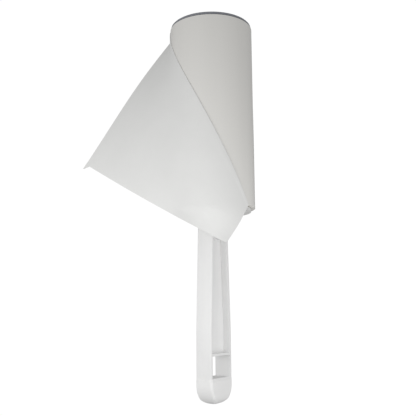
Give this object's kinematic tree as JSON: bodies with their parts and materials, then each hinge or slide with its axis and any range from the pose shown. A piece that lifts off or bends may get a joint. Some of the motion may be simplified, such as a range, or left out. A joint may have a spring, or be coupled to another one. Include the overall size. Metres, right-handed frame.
{
  "type": "lint roller",
  "caption": "Hand-held lint roller: H-section handle with a hanging slot, turning drum, slide-on refill of adhesive sheets with one half peeled, and an end cap.",
  "frame": {"origin": "on the roll's axis, at the middle of the handle, where a hand holds it", "axes": "+Z along the roll's axis from the handle to the roll, +X across the handle's two flanges, +Y through its web"},
  "size_m": [0.0519, 0.0907, 0.2019],
  "materials": {
    "handle_plastic": "satin moulded white",
    "axle_steel": "drawn rod",
    "washer_plastic": "natural",
    "nut_steel": "stamped spring steel",
    "drum_plastic": "moulded white",
    "core_board": "wound board",
    "sheet_paper": "adhesive-coated white",
    "cap_plastic": "moulded grey"
  },
  "bodies": {
    "grip": {"handle": "handle_plastic", "axle": "axle_steel", "thrust_washer": "washer_plastic", "push_nut": "nut_steel"},
    "drum": {"drum": "drum_plastic", "drum_plug": "drum_plastic"},
    "refill": {"core_tube": "core_board", "sheet_roll": "sheet_paper", "peeled_sheet": "sheet_paper"},
    "cap": {"end_cap": "cap_plastic"}
  },
  "joints": [
    {"name": "roll_spin", "type": "hinge", "parent": "grip", "child": "drum", "pos_m": [0, 0, 0.05], "axis": [0, 0, 1], "continuous": true},
    {"name": "refill_slide", "type": "slide", "parent": "drum", "child": "refill", "axis": [0, 0, 1], "range_m": [0, 0.12]},
    {"name": "cap_pull", "type": "slide", "parent": "refill", "child": "cap", "axis": [0, 0, 1], "range_m": [0, 0.03]}
  ]
}
